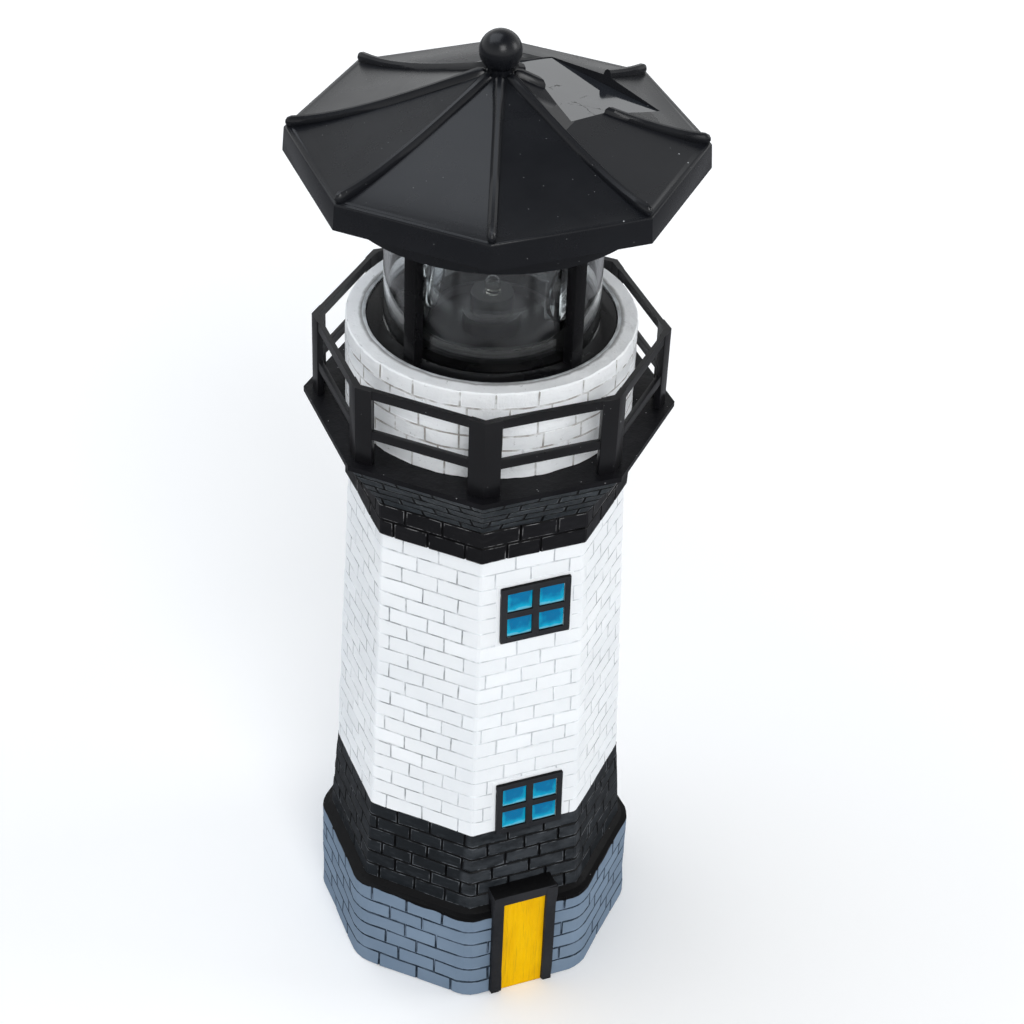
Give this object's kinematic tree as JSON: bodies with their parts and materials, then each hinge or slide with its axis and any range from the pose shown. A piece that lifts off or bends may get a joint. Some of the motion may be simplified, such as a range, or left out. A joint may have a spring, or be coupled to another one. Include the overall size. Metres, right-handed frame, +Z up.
{
  "type": "garden lighthouse ornament",
  "caption": "Free-standing garden lighthouse with a hollow octagonal brick tower, a railed gallery and a lift-out solar lamp head with a revolving optic.",
  "frame": {"origin": "centre of the base, on the ground", "axes": "+Z up along the tower's axis, -Y out of the face with the door, +X to the right when the door is faced"},
  "size_m": [0.1226, 0.1226, 0.3601],
  "materials": {
    "painted_resin": "cast resin with matte paint, white brick with black and grey bands",
    "railing_plastic": "satin black moulding",
    "roof_plastic": "semi-gloss black moulding",
    "solar_cell": "glossy dark cell under a clear coat",
    "frame_plastic": "gloss black moulding",
    "clear_plastic": "clear moulded cylinder",
    "lens_plastic": "clear moulded lens",
    "inner_plastic": "plain black moulding",
    "gear_plastic": "dark moulded gear plastic",
    "screw_steel": "zinc-plated screws",
    "motor_steel": "plated motor can",
    "pinion_brass": "turned brass",
    "contact_steel": "nickel-plated contact",
    "cell_wrap": "plain printed sleeve",
    "board": "solder-masked board",
    "led_lens": "clear epoxy dome",
    "knob_plastic": "white switch knob"
  },
  "bodies": {
    "tower": {"tower_casting": "painted_resin", "railing": "railing_plastic"},
    "lamp_head": {"roof_shell": "roof_plastic", "finial_ball": "roof_plastic", "solar_panel": "solar_cell", "roof_tray": "roof_plastic", "roof_screws": "screw_steel", "column_screws": "screw_steel", "lamp_frame": "frame_plastic", "lamp_cylinder": "clear_plastic", "drive_housing": "inner_plastic", "frame_screws": "screw_steel", "led_post": "inner_plastic", "led_lamp": "led_lens", "circuit_board": "board", "motor": "motor_steel", "battery": "cell_wrap", "battery_contacts": "contact_steel", "housing_cover": "inner_plastic", "cover_screws": "screw_steel", "battery_door": "inner_plastic", "battery_door_screw": "screw_steel", "switch_body": "contact_steel"},
    "optic": {"optic_turntable": "gear_plastic", "lens_drum": "lens_plastic", "bullseye_lenses": "lens_plastic"},
    "pinion": {"motor_pinion": "pinion_brass"},
    "switch": {"switch_knob": "knob_plastic"}
  },
  "joints": [
    {"name": "head_lift", "type": "slide", "parent": "tower", "child": "lamp_head", "axis": [0, 0, 1], "range_m": [0, 0.06]},
    {"name": "rotor_spin", "type": "hinge", "parent": "lamp_head", "child": "optic", "pos_m": [0, 0, 0.257], "axis": [0, 0, 1], "continuous": true},
    {"name": "pinion_spin", "type": "hinge", "parent": "lamp_head", "child": "pinion", "pos_m": [0, 0.0252, 0.2525], "axis": [0, 0, 1], "continuous": true},
    {"name": "switch_slide", "type": "slide", "parent": "lamp_head", "child": "switch", "axis": [1, 0, 0], "range_m": [0, 0.004]}
  ],
  "couplings": [
    {"joint": "pinion_spin", "follows": "rotor_spin", "ratio": -3.6667}
  ]
}
